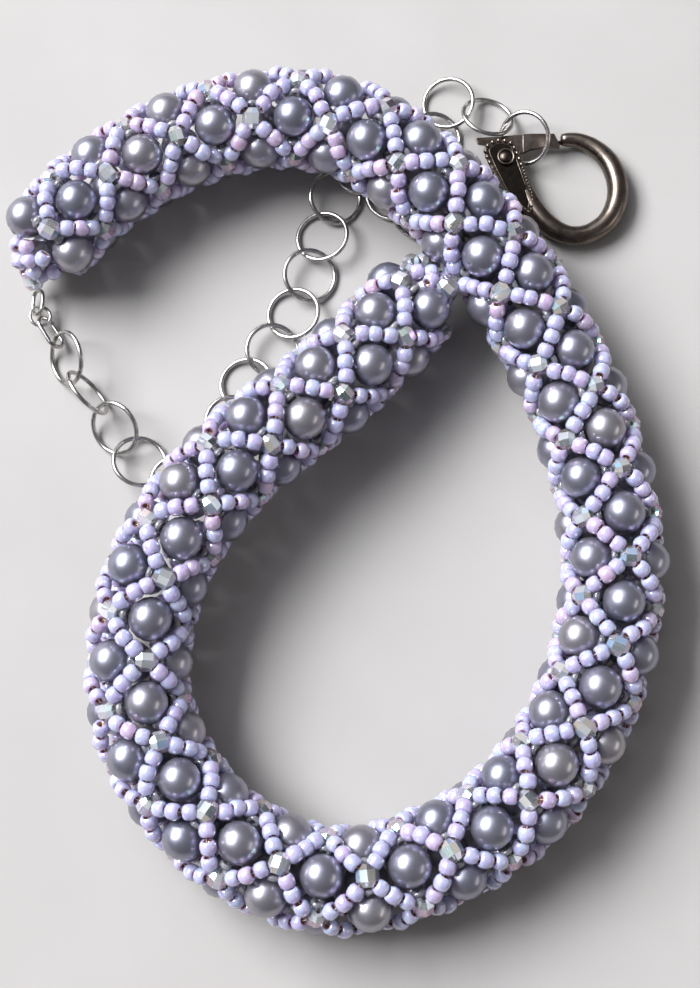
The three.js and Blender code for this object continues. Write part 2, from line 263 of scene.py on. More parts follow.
# %% Pearl finish
pearl_grey, tree, shader = finish(
    "pearl_grey", Metallic=0.85, IOR=1.5, Specular_Tint=(0.5, 0.5, 0.6, 1.0), Coat_Weight=1.0,
    Coat_Roughness=0.06, Coat_IOR=1.4)
tones = ramp(tree, bead_number(tree, "tone"), (0.0, (0.28, 0.28, 0.34)), (0.55, (0.34, 0.33, 0.38)),
             (1.0, (0.41, 0.385, 0.40)))
cloud = ramp(tree, pattern(tree, 260.0, 3.0), (0.3, (0.82, 0.82, 0.86)), (0.7, (1.0, 1.0, 1.0)))
grey = vec(tree, "MULTIPLY", tones, cloud)
feed(tree, shader, Base_Color=grey, Roughness=spread(tree, pattern(tree, 900.0), 0.31, 0.41))
rough_skin(tree, shader, pattern(tree, 900.0, 1.0), 0.04, 0.00005)
print("made", pearl_grey.name)

# %% [markdown]
# Opal glass is milky: light goes in, scatters and comes out a little further on, bluish where it is lit
# and pink where it has gone through. Subsurface scattering over a millimetre or two gives that, under a
# glossy surface. The hole is lined with copper-brown, which shows at its rim and warms the glass near it.

# %% Opal finish
opal_pink, tree, shader = finish(
    "opal_pink", Roughness=0.08, IOR=1.6, Subsurface_Weight=0.6, Subsurface_Scale=0.002,
    Subsurface_Radius=(1.0, 0.6, 0.7), Transmission_Weight=0.4, Coat_Weight=1.0, Coat_Roughness=0.02,
    Coat_IOR=1.9)
tones = ramp(tree, bead_number(tree, "tone"), (0.0, (0.80, 0.63, 0.82)), (0.15, (0.71, 0.645, 0.95)),
             (0.5, (0.63, 0.655, 1.0)), (1.0, (0.65, 0.70, 1.0)))
milk = ramp(tree, pattern(tree, 700.0, 2.0), (0.35, (0.96, 0.86, 0.91)), (0.65, (1.0, 1.0, 1.0)))
glass = vec(tree, "MULTIPLY", tones, milk)
lining = bead_number(tree, "lining")
glow = ramp(tree, lining, (0.0, (1.0, 1.0, 1.0)), (0.6, (0.86, 0.66, 0.62)))
glass = vec(tree, "MULTIPLY", glass, glow)
lined = ramp(tree, lining, (0.7, (0.0, 0.0, 0.0)), (0.8, (1.0, 1.0, 1.0)))
feed(tree, shader, Base_Color=blended(tree, lined, glass, (0.28, 0.11, 0.07, 1)))
print("made", opal_pink.name)

# %% [markdown]
# The crystals are clear cut glass with a coating thinner than a wave of light, which sends back blue,
# green or gold. A thin film on a clear shader makes such colours from the same cause. Light that turns
# back inside a small cut bead makes one facet bright and the next one dark, and a few dozen faces can't
# carry all those turns, so each facet also holds a number of its own, `facet`, and a ramp on it paints
# that light into the base colour: bright facets are painted reflections and highlights, dark facets are
# painted shade, with some gold and blue tints among them.

# %% Crystal finishes
crystal_clear, tree, shader = finish(
    "crystal_clear", IOR=1.6, Transmission_Weight=0.6, Roughness=0.03, Thin_Film_Thickness=420.0,
    Thin_Film_IOR=2.1, Coat_Weight=1.0, Coat_Roughness=0.02)
shade = calc(tree, "FRACT", calc(tree, "ADD", bead_number(tree, "facet"), bead_number(tree, "tone")))
# Painted reflections, highlights and shade: a ramp on the facet number makes some facets near white and some
# near black.
painted_facet_light = ramp(tree, shade, (0.0, (0.05, 0.05, 0.06)), (0.15, (0.95, 0.95, 0.97)), (0.3, (0.34, 0.32, 0.31)),
              (0.42, (1.0, 1.0, 1.0)), (0.55, (0.74, 0.65, 0.55)), (0.66, (0.10, 0.10, 0.11)),
              (0.8, (0.92, 0.96, 1.0)), (0.9, (0.42, 0.56, 0.80)), (1.0, (0.50, 0.50, 0.55)))
feed(tree, shader, Base_Color=painted_facet_light)

spacer_grey, tree, shader = finish(
    "spacer_grey", IOR=1.5, Transmission_Weight=0.55, Coat_Weight=0.6, Coat_Roughness=0.05)
tones = ramp(tree, bead_number(tree, "tone"), (0.0, (0.20, 0.20, 0.24)), (1.0, (0.46, 0.44, 0.46)))
feed(tree, shader, Base_Color=tones, Roughness=spread(tree, pattern(tree, 1500.0), 0.08, 0.2))
print("made", crystal_clear.name, spacer_grey.name)

# %% [markdown]
# The chain is plated bright silver, with the fine draw marks of wire. The clasp is antiqued: it was
# blackened and then rubbed, so the high places are bright and the low places stay nearly black. Parts of
# the clasp that lie low carry a number, `hollow`, that darkens them.

# %% Metal and thread finishes
bright_silver, tree, shader = finish("polished_silver", Metallic=1.0, Specular_IOR_Level=0.6)
plating = ramp(tree, pattern(tree, 420.0, 4.0, 0.6), (0.3, (0.30, 0.28, 0.26)), (0.6, (0.58, 0.56, 0.54)))
feed(tree, shader, Base_Color=plating, Roughness=spread(tree, pattern(tree, 1800.0, 3.0), 0.14, 0.34))
rough_skin(tree, shader, pattern(tree, 5200.0, 2.0), 0.08, 0.00004)

antique_silver, tree, shader = finish("blackened_silver", Metallic=1.0, Specular_IOR_Level=0.5)
rubbed = ramp(tree, pattern(tree, 330.0, 5.0, 0.62), (0.30, (0.10, 0.08, 0.066)),
              (0.62, (0.185, 0.15, 0.124)))
hollow = ramp(tree, bead_number(tree, "hollow"), (0.0, (1.0, 1.0, 1.0)), (1.0, (0.05, 0.045, 0.045)))
silver_tone = vec(tree, "MULTIPLY", rubbed, hollow)
feed(tree, shader, Base_Color=silver_tone, Roughness=spread(tree, pattern(tree, 1100.0, 4.0), 0.2, 0.4))
rough_skin(tree, shader, pattern(tree, 3000.0, 4.0), 0.16, 0.00006)

thread_gold, tree, shader = finish("thread_gold", Roughness=0.3, IOR=1.5, Coat_Weight=0.4)
fibre = ramp(tree, pattern(tree, 1500.0, 3.0), (0.3, (0.52, 0.42, 0.34)), (0.7, (0.80, 0.72, 0.66)))
feed(tree, shader, Base_Color=fibre)
print("made", bright_silver.name, antique_silver.name, thread_gold.name)

# %% [markdown]
# ## Beads
# Every bead is a turned shape with a hole through it, so one helper turns a closed outline about the hole.
# The net holds nine hundred seeds, so a seed has only seventy faces and a pearl about a hundred, and smooth
# shading rounds them. The crystal keeps flat faces, because it is cut.


# %% Turned beads
def turned(name, outline, sides, material, lining=0.0, smooth=True):
    """A closed outline of (radius, height) in mm, turned about Z. lining is the radius of the lined hole."""
    shape = bmesh.new()
    lined_layer = shape.verts.layers.float.new("lining")
    facet_layer = shape.faces.layers.float.new("facet")
    shades = random.Random(4)
    rows = [round_row(shape, Vector(), radius, height, sides, lined_layer, float(radius <= lining))
            for radius, height in outline]
    walled(shape, rows + rows[:1])
    bmesh.ops.recalc_face_normals(shape, faces=shape.faces)
    for face in shape.faces:
        face.smooth = smooth
        face[facet_layer] = shades.random()
    mesh = bpy.data.meshes.new(name)
    shape.to_mesh(mesh)
    shape.free()
    mesh.materials.append(material)
    bead = add_object(name, mesh)
    report(bead)
    return bead


PEARL = 4.0
latitudes = [math.radians(a) for a in (7.2, 28, 49, 70, 90, 110, 131, 152, 172.8)]
pearl_outline = [(PEARL * math.sin(a), PEARL * math.cos(a)) for a in latitudes]
seed_outline = [(0.55, 1.12), (1.10, 1.28), (1.48, 0.74), (1.58, 0.0), (1.48, -0.74), (1.10, -1.28),
                (0.55, -1.12)]
crystal_outline = [(0.5, 1.8), (1.2, 1.98), (2.0, 1.0), (2.0, -1.0), (1.2, -1.98), (0.5, -1.8)]
spacer_outline = [(0.45, 0.45), (1.1, 0.52), (1.4, 0.0), (1.1, -0.52), (0.45, -0.45)]
pearl_shape = turned("pearl_shape", pearl_outline, 12, pearl_grey)
seed_shape = turned("seed_shape", seed_outline, 10, opal_pink, lining=0.56)
crystal_shape = turned("crystal_shape", crystal_outline, 9, crystal_clear, smooth=False)
spacer_shape = turned("spacer_shape", spacer_outline, 10, spacer_grey)
END_PEARL = 0.8
end_outline = [(END_PEARL * r, END_PEARL * h) for r, h in pearl_outline]
end_shape = turned("end_shape", end_outline, 12, pearl_grey)

# %% [markdown]
# ## The rope
# All beads of the rope follow one rule. Rings of three pearls are strung 7.96 mm apart on a centre line,
# and each ring is turned 60 degrees from the one before, less a slight twist. So the whole rope can be a
# formula: a Geometry Nodes group turns a ring number, an angle and a distance into a place on the rope.
# The centre line lies flat, and the rope climbs over the chain at two crests.

# %% The centre line
ROUTE = [
    (14, 38.5), (-3.5, 20), (-23, 3), (-36, -17.5), (-37.5, -42), (-23.5, -62.5), (-1.5, -71),
    (23.5, -62.5), (40.5, -44), (48.5, -17.5), (45.5, 8.5), (35, 33), (19, 55.5), (-2, 71.5),
    (-26, 72), (-49, 59.5), (-65.5, 39),
]
CENTRE = (-3.4, 3.4)
STEPS = 50


def spline(befores, starts, ends, afters, steps):
    """Points of a Catmull-Rom curve, from each start towards its end."""
    return [0.5 * (2 * b + (c - a) * t + (2 * a - 5 * b + 4 * c - d) * t ** 2
                   + (3 * b - a - 3 * c + d) * t ** 3)
            for a, b, c, d in zip(befores, starts, ends, afters) for t in np.arange(steps) / steps]


def smooth_path(corners, steps):
    """A smooth line through corners; its two ends run straight on."""
    p = np.array(corners, float)
    p = np.vstack([2 * p[0] - p[1], p, 2 * p[-1] - p[-2]])
    return np.array(spline(p, p[1:], p[2:], p[3:], steps) + [p[-2]])


def closed_path(corners, steps):
    """A smooth closed outline through corners."""
    p = np.array(corners, float)
    return np.array(spline(np.roll(p, 1, axis=0), p, np.roll(p, -1, axis=0), np.roll(p, -2, axis=0), steps))


def chain_mesh(name, points):
    """Points joined by edges into an open line."""
    mesh = bpy.data.meshes.new(name)
    mesh.from_pydata([tuple(p) for p in points], [(i, i + 1) for i in range(len(points) - 1)], [])
    return mesh


flat = (smooth_path(ROUTE, STEPS) - np.array(CENTRE)) * MM
route_mesh = chain_mesh("route", np.column_stack([flat, np.zeros(len(flat))]))
print("route is", round(np.linalg.norm(np.diff(flat, axis=0), axis=1).sum() / MM, 1), "mm long")


# %% Helpers for node trees
def node_tree(name, inputs, outputs=(("Geometry", "Geometry"),)):
    """A Geometry Nodes tree with named inputs: each has a kind, or a number that it starts with."""
    tree = bpy.data.node_groups.new(name, "GeometryNodeTree")
    for label, value in inputs.items():
        kind = value if isinstance(value, str) else type(value).__name__.capitalize()
        socket = tree.interface.new_socket(label, in_out="INPUT", socket_type="NodeSocket" + kind)
        if kind != value:
            socket.default_value = value
    for label, kind in outputs:
        tree.interface.new_socket(label, in_out="OUTPUT", socket_type="NodeSocket" + kind)
    return tree, tree.nodes.new("NodeGroupInput").outputs


def total(tree, *vectors):
    """Vectors added up."""
    whole = vectors[0]
    for part in vectors[1:]:
        whole = vec(tree, "ADD", whole, part)
    return whole


def close_tree(tree, geometry, material):
    """The end of every tree: real mesh, its material, out."""
    real = node(tree, "GeometryNodeRealizeInstances", geometry)
    painted = node(tree, "GeometryNodeSetMaterial", real, None, material)
    out = tree.nodes.new("NodeGroupOutput")
    tree.links.new(painted, out.inputs[0])


print("tree helpers ready")


# %% From trees to plain meshes
def grow(name, base, tree, **values):
    """Runs a tree on a mesh and keeps the result as a plain mesh."""
    host = add_object(name + "_host", base)
    modifier = host.modifiers.new("nodes", "NODES")
    modifier.node_group = tree
    names = {s.name: s.identifier for s in tree.interface.items_tree if s.in_out == "INPUT"}
    for label, value in values.items():
        modifier[names[label.replace("_", " ")]] = value
    evaluated = host.evaluated_get(bpy.context.evaluated_depsgraph_get())
    mesh = bpy.data.meshes.new_from_object(evaluated)
    mesh.name = name
    host.modifiers.remove(modifier)
    bpy.data.objects.remove(host)
    return add_object(name, mesh)


def joined(name, parts):
    """Several objects at the origin made one mesh."""
    shape = bmesh.new()
    for part in parts:
        shape.from_mesh(part.data)
    mesh = bpy.data.meshes.new(name)
    shape.to_mesh(mesh)
    shape.free()
    for material in parts[0].data.materials:
        mesh.materials.append(material)
    for part in parts:
        bpy.data.objects.remove(part)
    return add_object(name, mesh)


print("mesh helpers ready")

# %% The rope's sizes
RING_SPACING = 7.96 * MM
FIRST_RING_AT = 3.0 * MM
ROPE_HEIGHT = 10.4 * MM
FIRST_TURN = math.radians(36)
TWIST = math.radians(-1.73)
THIRD = math.radians(120)
SIXTH = math.radians(60)
PEARL_RINGS = 51
CRESTS = ((6.4, 4.1 * MM, 7.5), (39.6, 4.3 * MM, 8.0))  # ring number, lift, and rings to each side
NEAR = 0.05  # how far before and after a ring, in rings, the rope's direction is taken
print("rope has", PEARL_RINGS, "rings of pearls")

# %% The rope's rule as a node group
rope_rule, given = node_tree("rope_rule", {
    "Route": "Geometry", "Ring": 0.0, "Angle": 0.0, "Out": 0.0, "Past": 0.0,
    "Ring spacing": RING_SPACING, "Rope height": ROPE_HEIGHT,
}, (("Place", "Vector"), ("Along", "Vector"), ("Outward", "Vector"), ("Around", "Vector")))


def centre_at(tree, ring):
    """The rope's centre at a ring number, on the table's line and lifted over the chain."""
    length = calc(tree, "ADD", calc(tree, "MULTIPLY", ring, given["Ring spacing"]), FIRST_RING_AT)
    sample = tree.nodes.new("GeometryNodeSampleCurve")
    sample.mode = "LENGTH"
    sample.use_all_curves = True
    tree.links.new(given["Route"], sample.inputs["Curves"])
    tree.links.new(length, next(s for s in sample.inputs if s.enabled and s.name == "Length"))
    height = given["Rope height"]
    for crest, lift, reach in CRESTS:
        away = calc(tree, "ABSOLUTE", calc(tree, "SUBTRACT", ring, crest))
        share = calc(tree, "MINIMUM", calc(tree, "DIVIDE", away, reach), 1.0)
        wave = calc(tree, "ADD", calc(tree, "COSINE", calc(tree, "MULTIPLY", share, math.pi)), 1.0)
        height = calc(tree, "ADD", height, calc(tree, "MULTIPLY", wave, lift / 2))
    raised = node(tree, "ShaderNodeCombineXYZ", 0.0, 0.0, height)
    return vec(tree, "ADD", sample.outputs["Position"], raised)


ahead = centre_at(rope_rule, calc(rope_rule, "ADD", given["Ring"], NEAR))
behind = centre_at(rope_rule, calc(rope_rule, "SUBTRACT", given["Ring"], NEAR))
along = vec(rope_rule, "NORMALIZE", vec(rope_rule, "SUBTRACT", ahead, behind))
sideways = vec(rope_rule, "NORMALIZE", vec(rope_rule, "CROSS_PRODUCT", tuple(UP), along))
upwards = vec(rope_rule, "CROSS_PRODUCT", along, sideways)
outward = vec(rope_rule, "ADD",
              vec(rope_rule, "SCALE", sideways, calc(rope_rule, "SINE", given["Angle"])),
              vec(rope_rule, "SCALE", upwards, calc(rope_rule, "COSINE", given["Angle"])))
around = vec(rope_rule, "CROSS_PRODUCT", outward, along)
place = total(rope_rule, centre_at(rope_rule, given["Ring"]),
              vec(rope_rule, "SCALE", outward, given["Out"]), vec(rope_rule, "SCALE", along, given["Past"]))
rule_out = rope_rule.nodes.new("NodeGroupOutput")
for label, value in (("Place", place), ("Along", along), ("Outward", outward), ("Around", around)):
    rope_rule.links.new(value, rule_out.inputs[label])
print("rope rule has", len(rope_rule.nodes), "nodes")


# %% A place on the rope
def on_rope(tree, route, ring, angle, out, past=0.0):
    """The rope rule used inside another tree."""
    rule = tree.nodes.new("GeometryNodeGroup")
    rule.node_tree = rope_rule
    for label, value in (("Route", route), ("Ring", ring), ("Angle", angle), ("Out", out), ("Past", past)):
        put(tree, rule.inputs[label], value)
    return rule.outputs


def ring_turn(tree, ring):
    """How far a ring of pearls is turned: a sixth of a turn each time, less the rope's twist."""
    return calc(tree, "ADD", calc(tree, "MULTIPLY", ring, SIXTH + TWIST), FIRST_TURN)


def split_number(tree, index, size):
    """An index as (what is left over, how many whole sizes)."""
    return (calc(tree, "FLOORED_MODULO", index, size),
            calc(tree, "FLOOR", calc(tree, "DIVIDE", index, size)))


print("place helpers ready")

# %% Beads on their places
STRAY_SEED, SIZE_SEED, TONE_SEED = 3.0, 7.0, 13.0


def drawn(tree, low, high, seed):
    """A random number, or three of them, for every bead."""
    kind = "FLOAT_VECTOR" if isinstance(low, tuple) else "FLOAT"
    return node(tree, "FunctionNodeRandomValue", low, high, None, seed, data_type=kind)


def strung(tree, given, points, hole, outward, bead):
    """Puts a bead on every point with its hole along a direction, a little crooked and uneven."""
    lowest, highest = (-1.0, -1.0, -1.0), (1.0, 1.0, 1.0)
    sway = drawn(tree, lowest, highest, given["Seed"])
    crooked = vec(tree, "ADD", vec(tree, "NORMALIZE", hole), vec(tree, "SCALE", sway, given["Crooked"]))
    stray = drawn(tree, lowest, highest, calc(tree, "ADD", given["Seed"], STRAY_SEED))
    strayed = vec(tree, "SCALE", stray, given["Stray"])
    points = node(tree, "GeometryNodeSetPosition", points, None, None, strayed)
    turned_to = node(tree, "FunctionNodeAxesToRotation", crooked, outward, primary_axis="Z",
                     secondary_axis="X")
    uneven = drawn(tree, -1.0, 1.0, calc(tree, "ADD", given["Seed"], SIZE_SEED))
    size = calc(tree, "ADD", calc(tree, "MULTIPLY", uneven, given["Uneven"]), 1.0)
    made = linked(tree, "GeometryNodeInstanceOnPoints", Points=points, Instance=bead, Rotation=turned_to,
                  Scale=size)
    tone = drawn(tree, 0.0, 1.0, calc(tree, "ADD", given["Seed"], TONE_SEED))
    return node(tree, "GeometryNodeStoreNamedAttribute", made.outputs["Instances"], None, "tone", tone,
                data_type="FLOAT", domain="INSTANCE")


def bead_of(tree, given):
    """The bead shape that an input names."""
    return linked(tree, "GeometryNodeObjectInfo", Object=given["Bead"]).outputs["Geometry"]


RANDOMNESS = {"Crooked": 0.06, "Uneven": 0.02, "Stray": 0.0, "Seed": 1}
print("bead helpers ready")

# %% [markdown]
# ### Rings of beads
# Pearls, crystals and spacers all sit in rings round the rope, and so do the seeds that close its ends.
# One tree makes any of them: how many rings, how many beads in a ring, how far out and at what angle.


# %% Tree: rings of beads
def ring_tree(material):
    """The tree for rings of beads, with a material at its end."""
    tree, given = node_tree("ring_of_beads_" + material.name, {
        "Geometry": "Geometry", "Bead": "Object", "First ring": 0.0, "Rings": 1, "In a ring": 3,
        "Angle": 0.0, "Apart": 0.0, "Out": 0.006, "Past": 0.0, "Hole along": 0.0, "Hole around": 1.0,
        "Hole outward": 0.0, **RANDOMNESS})
    route = node(tree, "GeometryNodeMeshToCurve", given["Geometry"])
    in_pairs = calc(tree, "ADD", calc(tree, "GREATER_THAN", given["Apart"], 1e-6), 1.0)
    in_pair, bead_index = split_number(tree, node(tree, "GeometryNodeInputIndex"), in_pairs)
    which, ring = split_number(tree, bead_index, given["In a ring"])
    ring = calc(tree, "ADD", ring, given["First ring"])
    side = calc(tree, "MULTIPLY", calc(tree, "SUBTRACT", in_pair, 0.5), given["Apart"])
    step = calc(tree, "DIVIDE", 2 * math.pi, given["In a ring"])
    angle = calc(tree, "ADD", calc(tree, "ADD", ring_turn(tree, ring), given["Angle"]),
                 calc(tree, "ADD", calc(tree, "MULTIPLY", which, step), side))
    at = on_rope(tree, route, ring, angle, given["Out"], given["Past"])
    hole = total(tree, vec(tree, "SCALE", at["Along"], given["Hole along"]),
                 vec(tree, "SCALE", at["Around"], given["Hole around"]),
                 vec(tree, "SCALE", at["Outward"], given["Hole outward"]))
    count = calc(tree, "MULTIPLY", calc(tree, "MULTIPLY", given["Rings"], given["In a ring"]), in_pairs)
    points = node(tree, "GeometryNodePoints", count, at["Place"])
    close_tree(tree, strung(tree, given, points, hole, at["Outward"], bead_of(tree, given)), material)
    return tree


pearl_rings = ring_tree(pearl_grey)
crystal_rings = ring_tree(crystal_clear)
spacer_rings = ring_tree(spacer_grey)
seed_rings = ring_tree(opal_pink)
print("ring tree has", len(pearl_rings.nodes), "nodes")

# %% Pearls, crystals and spacers
pearls = grow("pearls", route_mesh, pearl_rings, Bead=pearl_shape, Rings=PEARL_RINGS, Out=6.4 * MM,
              Hole_along=1.0, Hole_around=0.0, Seed=3, Crooked=0.05, Uneven=0.012, Stray=0.12 * MM)
LOOSE_CUT = dict(Crooked=0.2, Uneven=0.05, Stray=0.25 * MM)
crystals = joined("net_crystals", [
    grow("crystals_in_net", route_mesh, crystal_rings, Bead=crystal_shape, Rings=PEARL_RINGS,
         Angle=SIXTH, Out=7.7 * MM, Seed=11, **LOOSE_CUT),
    grow("crystals_at_clasp_end", route_mesh, crystal_rings, Bead=crystal_shape, Rings=1, Out=5.6 * MM,
         Past=-6.0 * MM, Seed=12, **LOOSE_CUT)])
SPACER_TURN = math.atan(2.65 / 7.0)
spacers = joined("spacers", [
    grow("spacers_" + side, route_mesh, spacer_rings, Bead=spacer_shape, Rings=PEARL_RINGS,
         Angle=SIXTH + sign * SPACER_TURN, Out=7.1 * MM, Seed=21 + sign, Crooked=0.1, Uneven=0.05)
    for side, sign in (("left", -1), ("right", 1))])
for piece in (pearls, crystals, spacers):
    report(piece)

# %% [markdown]
# ### The net
# From every crystal two strands of three seeds run to the crystals of the next ring, one sixth of a turn
# to each side. The seeds ride a little further out than the crystals, so that they stand over the
# pearls' shoulders. An index is split into bead, side, crystal and ring, and the rule does the rest.

# %% Tree: the net's strands
SEEDS_IN_A_STRAND = 3.0
CRYSTALS_IN_A_RING = 3.0
STRANDS_FROM_A_CRYSTAL = 2.0
STRANDS_IN_A_RING = CRYSTALS_IN_A_RING * STRANDS_FROM_A_CRYSTAL
STRAND = {"Crystal out": 7.6 * MM, "Seed out": 8.45 * MM}


def on_strand(tree, given, route, number, share, side, bulge):
    """A place on a strand: number says which crystal it leaves, share how far along it is."""
    which, ring = split_number(tree, number, CRYSTALS_IN_A_RING)
    angle = calc(tree, "ADD", ring_turn(tree, ring), calc(tree, "MULTIPLY_ADD", which, THIRD, SIXTH))
    sweep = calc(tree, "ADD", calc(tree, "MULTIPLY", side, SIXTH), TWIST)
    angle = calc(tree, "ADD", angle, calc(tree, "MULTIPLY", share, sweep))
    rise = calc(tree, "SUBTRACT", given["Seed out"], given["Crystal out"])
    out = calc(tree, "ADD", given["Crystal out"], calc(tree, "MULTIPLY", rise, bulge))
    return on_rope(tree, route, calc(tree, "ADD", ring, share), angle, out)


net_tree, given = node_tree("net_of_seeds", {
    "Geometry": "Geometry", "Bead": "Object", "Rings": 50,
    "Seed spacing": 0.224, **STRAND, **RANDOMNESS})
route = node(net_tree, "GeometryNodeMeshToCurve", given["Geometry"])
bead, strand = split_number(net_tree, node(net_tree, "GeometryNodeInputIndex"), SEEDS_IN_A_STRAND)
side, number = split_number(net_tree, strand, STRANDS_FROM_A_CRYSTAL)
side = calc(net_tree, "MULTIPLY_ADD", side, 2.0, -1.0)
from_middle = calc(net_tree, "SUBTRACT", bead, 1.0)
share = calc(net_tree, "MULTIPLY_ADD", from_middle, given["Seed spacing"], 0.5)
bulge = calc(net_tree, "MULTIPLY_ADD", calc(net_tree, "ABSOLUTE", from_middle), -0.2, 1.0)
at = on_strand(net_tree, given, route, number, share, side, bulge)
lean = calc(net_tree, "MULTIPLY", calc(net_tree, "MULTIPLY", side, SIXTH), given["Seed out"])
hole = total(net_tree, vec(net_tree, "SCALE", at["Along"], RING_SPACING),
             vec(net_tree, "SCALE", at["Around"], lean))
count = calc(net_tree, "MULTIPLY", given["Rings"], STRANDS_IN_A_RING * SEEDS_IN_A_STRAND)
points = node(net_tree, "GeometryNodePoints", count, at["Place"])
close_tree(net_tree, strung(net_tree, given, points, hole, at["Outward"], bead_of(net_tree, given)),
           opal_pink)
seeds = grow("net_seeds", route_mesh, net_tree, Bead=seed_shape, Rings=PEARL_RINGS - 1, Seed=5,
             Crooked=0.14, Uneven=0.04, Stray=0.2 * MM)
report(seeds)

# %% [markdown]
# ### The thread
# The beads hang on a fine thread, which shows where a strand leaves a crystal. It follows the same rule:
# points on each strand become a curve, and a thin tube is swept along it.

# %% Tree: the thread
thread_tree, given = node_tree("thread_in_net", {
    "Geometry": "Geometry", "Rings": 50, "Thread radius": 0.09 * MM, **STRAND})
THREAD_POINTS = 7.0
route = node(thread_tree, "GeometryNodeMeshToCurve", given["Geometry"])
knot, strand = split_number(thread_tree, node(thread_tree, "GeometryNodeInputIndex"), THREAD_POINTS)
side, number = split_number(thread_tree, strand, STRANDS_FROM_A_CRYSTAL)
side = calc(thread_tree, "MULTIPLY_ADD", side, 2.0, -1.0)
share = calc(thread_tree, "DIVIDE", knot, THREAD_POINTS - 1)
bulge = calc(thread_tree, "SINE", calc(thread_tree, "MULTIPLY", share, math.pi))
at = on_strand(thread_tree, given, route, number, share, side, bulge)
count = calc(thread_tree, "MULTIPLY", given["Rings"], STRANDS_IN_A_RING * THREAD_POINTS)
points = node(thread_tree, "GeometryNodePoints", count, at["Place"])
lines = node(thread_tree, "GeometryNodePointsToCurves", points, strand, knot)
section = node(thread_tree, "GeometryNodeCurvePrimitiveCircle", 4)
section.node.inputs["Radius"].default_value = 1.0
tube = linked(thread_tree, "GeometryNodeCurveToMesh", Curve=lines, Profile_Curve=section,
              Scale=given["Thread radius"], Fill_Caps=True)
close_tree(thread_tree, tube.outputs["Mesh"], thread_gold)
thread = grow("thread", route_mesh, thread_tree, Rings=PEARL_RINGS - 1)
report(thread)

# %% [markdown]
# ### The rope's ends
# At each end the strands are drawn together: three pairs of seeds lean in, and two rings of three close
# the tip over a last small pearl. A crystal sits beyond them, where the wire starts. The tree for rings of
# beads does this as well, with its rings placed past the last ring of pearls.

# %% Closed ends
LAST_RING = PEARL_RINGS - 1
LAYERS = (
    dict(Past=4.7, Out=4.35, Angle=SIXTH, Apart=math.radians(52), Hole_outward=-0.4),
    dict(Past=6.4, Out=3.1, Angle=SIXTH, Apart=0.0, Hole_outward=-0.2),
    dict(Past=7.3, Out=1.9, Angle=0.0, Apart=0.0, Hole_outward=-0.1),
)
end_pearls = []
for end, ring, way in (("clasp", 0.0, -1), ("chain", float(LAST_RING), 1)):
    parts = []
    for number, layer in enumerate(LAYERS):
        parts.append(grow(
            f"layer_{number}", route_mesh, seed_rings, Bead=seed_shape, First_ring=ring, Rings=1,
            Angle=layer["Angle"], Apart=layer["Apart"], Out=layer["Out"] * MM, Past=way * layer["Past"] * MM,
            Hole_along=1.0 * way, Hole_around=0.3, Hole_outward=layer["Hole_outward"], Crooked=0.25,
            Uneven=0.03, Seed=40 + number + way))
    end_pearls.append(grow(f"end_pearl_{end}", route_mesh, pearl_rings, Bead=end_shape, First_ring=ring,
                           Rings=1, In_a_ring=1, Out=0.0, Past=way * 4.4 * MM, Seed=50 + way))
    cluster = joined(f"end_seeds_{end}", parts)
    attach(cluster, "necklace")
    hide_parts(f"seed_end_{end}")
    report(cluster)


# %% Crystals at the ends
def corners_of(name):
    """The corners of a node's mesh, one row each."""
    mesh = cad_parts[name].data
    corners = np.zeros(len(mesh.vertices) * 3, np.float32)
    mesh.vertices.foreach_get("co", corners)
    return corners.reshape(-1, 3)


def copied(shape, name, centre, hole):
    """A bead shape copied to a place, with its hole along a direction."""
    made = add_object(name, shape.data.copy())
    turn = Vector(hole).to_track_quat("Z", "X").to_matrix().to_4x4()
    made.data.transform(Matrix.Translation(centre) @ turn)
    return made


for end, hole in (("chain", (0.3, -1.0, -0.4)), ("clasp", (0.4, 0.9, 0.2))):
    crystal_node = f"crystal_{end}_end"
    crystal = copied(crystal_shape, f"end_crystal_{end}", Vector(corners_of(crystal_node).mean(axis=0)), hole)
    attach(crystal, "necklace")
    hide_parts(crystal_node)

# %% Fix the rope's beads to the necklace
pearls = joined("pearls", [pearls, *end_pearls])
rope_nodes = sorted(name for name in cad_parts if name.startswith("bead_rope"))
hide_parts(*rope_nodes)
for piece, slot in ((pearls, "pearl"), (crystals, "crystal"), (spacers, "crystal"), (seeds, "opal_glass"),
                    (thread, "thread")):
    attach(piece, "necklace")
for shape in (pearl_shape, seed_shape, spacer_shape, end_shape, crystal_shape):
    bpy.data.objects.remove(shape)
print("rope pieces stand for", len(rope_nodes), "nodes")

# %% [markdown]
# ## Chain
# A jump ring is a turn of round wire with a fine cut where it was opened and closed. Its node gives its
# place: the mean of the corners is its middle, and the direction in which they spread least is square to
# it. One tree sweeps the wire once and sets it on every place; drawn out, the same wire is an oval link.


# %% Ring places from the nodes
def ring_places(names):
    """Points at the rings' middles, with each ring's square and long directions stored on them."""
    mesh = bpy.data.meshes.new("ring_places")
    middles, square, long = [], [], []
    for name in names:
        corners = corners_of(name)
        middle = corners.mean(axis=0)
        directions = np.linalg.eigh(np.cov((corners - middle).T))[1]
        middles.append(tuple(middle))
        square.extend(directions[:, 0])
        long.extend(directions[:, 2])
    mesh.from_pydata(middles, [], [])
    for label, values in (("square", square), ("long", long)):
        mesh.attributes.new(label, "FLOAT_VECTOR", "POINT").data.foreach_set("vector", values)
    return mesh


